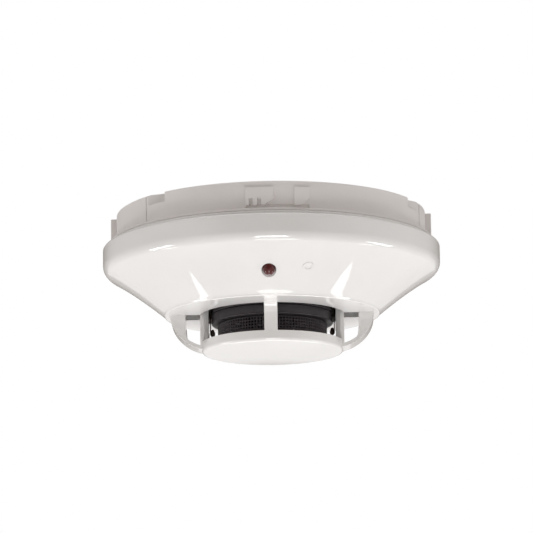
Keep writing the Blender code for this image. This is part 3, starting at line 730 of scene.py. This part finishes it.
CAD_FINISH = (
    ("chassis", "base_white", BASE_WHITE, 0.3),
    ("circuit_board", "board_green", BOARD_GREEN, 0.1),
    ("microcontroller", "package_black", PACKAGE_BLACK, 0.12),
    ("led_spacer", "package_black", PACKAGE_BLACK, 0.15),
    ("capacitor", "sleeve_blue", SLEEVE_BLUE, 0.25),
    ("reed_switch", "clear_glass", CLEAR_GLASS, 0.1),
    ("infrared_emitter", "optic_dark", OPTIC_DARK, 0.15),
    ("photodiode", "optic_dark", OPTIC_DARK, 0.15),
    ("photodiode_shield", "plated_steel", PLATED_STEEL, 0.1),
    ("contact_clip", "plated_steel", PLATED_STEEL, 0.12),
    ("clamp_plate", "plated_steel", PLATED_STEEL, 0.15),
    ("terminal_screw", "plated_steel", PLATED_STEEL, 0.15),
    ("board_screw", "plated_steel", PLATED_STEEL, 0.15),
    ("contact_blade", "contact_brass", CONTACT_BRASS, 0.15),
)


def finish_cad_pieces():
    """Round the edges of the CAD pieces that stay, and give each its material."""
    for prefix, slot, material, width in CAD_FINISH:
        for name, obj in sorted(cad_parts.items()):
            if name.rstrip("_0123456789") != prefix:
                continue
            obj.data.materials.clear()
            obj.data.materials.append(material)
            merge = obj.modifiers.new("weld", "WELD")
            merge.merge_threshold = 0.00001
            bevel(obj, width, 2, angle=35)
            obj.data.shade_smooth()
            obj.data.set_sharp_from_angle(angle=math.radians(35))


# Studio

WIDEST_POINT = Vector((0.0, 0.0, -0.0166))      # metres
CAMERA_DISTANCE = 1.3                           # metres
CAMERA_AZIMUTH = 1.2
CAMERA_ELEVATION = -11.7
CAMERA_ROLL = 0.83
VIEW_WIDTH = 0.2015                             # metres across the picture, at the object
AIM_LEFT, AIM_DOWN = 0.00185, 0.00321           # metres from the widest point to the picture's centre


def make_camera():
    """Below and in front, turned a little, as one looks up at a ceiling."""
    azimuth, elevation = math.radians(CAMERA_AZIMUTH), math.radians(CAMERA_ELEVATION)
    back = Vector((math.sin(azimuth) * math.cos(elevation), -math.cos(azimuth) * math.cos(elevation),
                   math.sin(elevation)))
    data = bpy.data.cameras.new("camera")
    data.sensor_width = 36.0
    data.lens = data.sensor_width * CAMERA_DISTANCE / VIEW_WIDTH
    data.clip_start = 0.05
    data.clip_end = 50.0
    camera = bpy.data.objects.new("camera", data)
    SCENE_COLLECTION.objects.link(camera)
    level = (-back).to_track_quat("-Z", "Y").to_matrix()
    rolled = level @ Matrix.Rotation(math.radians(-CAMERA_ROLL), 3, "Z")
    right, up = rolled.col[0], rolled.col[1]
    target = WIDEST_POINT - right * AIM_LEFT - up * AIM_DOWN
    camera.location = target + back * CAMERA_DISTANCE
    camera.rotation_euler = rolled.to_euler()
    bpy.context.scene.camera = camera


FLOOR_LEVEL = -0.42                             # metres


def make_floor():
    """A pale floor well below the hanging detector."""
    bpy.ops.mesh.primitive_plane_add(size=6.0, location=(0.0, 0.0, FLOOR_LEVEL))
    floor = bpy.context.object
    floor.name = "studio_floor"
    material, nodes, links, shader = start_material("floor_pale")
    cloud = add_noise(nodes, links, 3.0)
    links.new(add_tint(nodes, links, cloud.outputs["Fac"], (0.86, 0.86, 0.86), (0.9, 0.9, 0.9)),
              shader.inputs["Base Color"])
    shader.inputs["Roughness"].default_value = 0.9
    floor.data.materials.append(material)


# Radiance of the studio's walls before and beside the detector, and of the light above it
HORIZON_FRONT = (0.235, 0.210, 0.192, 1.0)
HORIZON_SIDES = (0.72, 0.70, 0.685, 1.0)
ZENITH = (1.44, 1.44, 1.45, 1.0)
# The lights on the floor: name, place and size in metres, and radiance
FLOOR_LIGHTS = (
    ("centre_panel", (0.015, -0.10), (0.13, 0.11), 3.0),
    ("centre_strip", (0.01, -0.36), (0.16, 0.16), 8.0),
    ("left_panel", (-0.285, 0.10), (0.085, 0.055), 3.4),
    ("right_panel", (0.255, 0.095), (0.08, 0.06), 3.4),
    ("left_strip", (-0.46, 0.03), (0.14, 0.20), 8.0),
    ("right_strip", (0.46, 0.03), (0.14, 0.20), 8.0),
    ("back_panel", (0.0, 0.32), (0.25, 0.20), 3.8),
)


def make_world():
    """White behind the detector, and for the light round it a bright zenith over dim sides."""
    world = bpy.data.worlds.new("studio")
    world.use_nodes = True
    nodes, links = world.node_tree.nodes, world.node_tree.links
    nodes.clear()
    place = nodes.new("ShaderNodeTexCoord")
    split = nodes.new("ShaderNodeSeparateXYZ")
    sideways = nodes.new("ShaderNodeMath")
    across = nodes.new("ShaderNodeMapRange")
    rise = nodes.new("ShaderNodeMapRange")
    horizon = nodes.new("ShaderNodeMix")
    sky = nodes.new("ShaderNodeMix")
    around = nodes.new("ShaderNodeBackground")
    behind = nodes.new("ShaderNodeBackground")
    path = nodes.new("ShaderNodeLightPath")
    mix = nodes.new("ShaderNodeMixShader")
    output = nodes.new("ShaderNodeOutputWorld")
    links.new(place.outputs["Generated"], split.inputs["Vector"])
    sideways.operation = "ABSOLUTE"
    links.new(split.outputs["X"], sideways.inputs[0])
    across.inputs["From Min"].default_value = 0.45
    across.inputs["From Max"].default_value = 0.95
    links.new(sideways.outputs["Value"], across.inputs["Value"])
    rise.inputs["From Min"].default_value = 0.7
    rise.inputs["From Max"].default_value = 0.9
    links.new(split.outputs["Z"], rise.inputs["Value"])
    horizon.data_type = sky.data_type = "RGBA"
    links.new(across.outputs["Result"], horizon.inputs["Factor"])
    horizon.inputs[6].default_value = HORIZON_FRONT
    horizon.inputs[7].default_value = HORIZON_SIDES
    links.new(rise.outputs["Result"], sky.inputs["Factor"])
    links.new(horizon.outputs[2], sky.inputs[6])
    sky.inputs[7].default_value = ZENITH
    links.new(sky.outputs[2], around.inputs["Color"])
    links.new(path.outputs["Is Camera Ray"], mix.inputs["Fac"])
    links.new(around.outputs["Background"], mix.inputs[1])
    links.new(behind.outputs["Background"], mix.inputs[2])
    links.new(mix.outputs["Shader"], output.inputs["Surface"])
    behind.inputs["Color"].default_value = (1.0, 1.0, 1.0, 1.0)
    bpy.context.scene.world = world


def panel_light(name, place, size, radiance):
    """A flat light that faces up from just above the floor. Lengths are in metres."""
    data = bpy.data.lights.new(name, "AREA")
    data.shape = "RECTANGLE"
    data.size, data.size_y = size
    data.energy = radiance * math.pi * size[0] * size[1]
    light = bpy.data.objects.new(name, data)
    light.location = (*place, FLOOR_LEVEL + 0.02)
    light.rotation_euler = (math.pi, 0.0, 0.0)
    light.visible_camera = False
    SCENE_COLLECTION.objects.link(light)


def make_studio():
    """World, colour handling and lights."""
    make_world()
    bpy.context.scene.view_settings.view_transform = "Standard"
    for name, place, size, radiance in FLOOR_LIGHTS:
        panel_light(name, place, size, radiance)


make_camera()
make_floor()
make_studio()
make_cover()
make_base()
make_chamber()
make_screen()
make_chamber_base()
make_bead("left", 270)
make_bead("right", 90)
make_led()
finish_cad_pieces()
bpy.data.collections.remove(WORK)
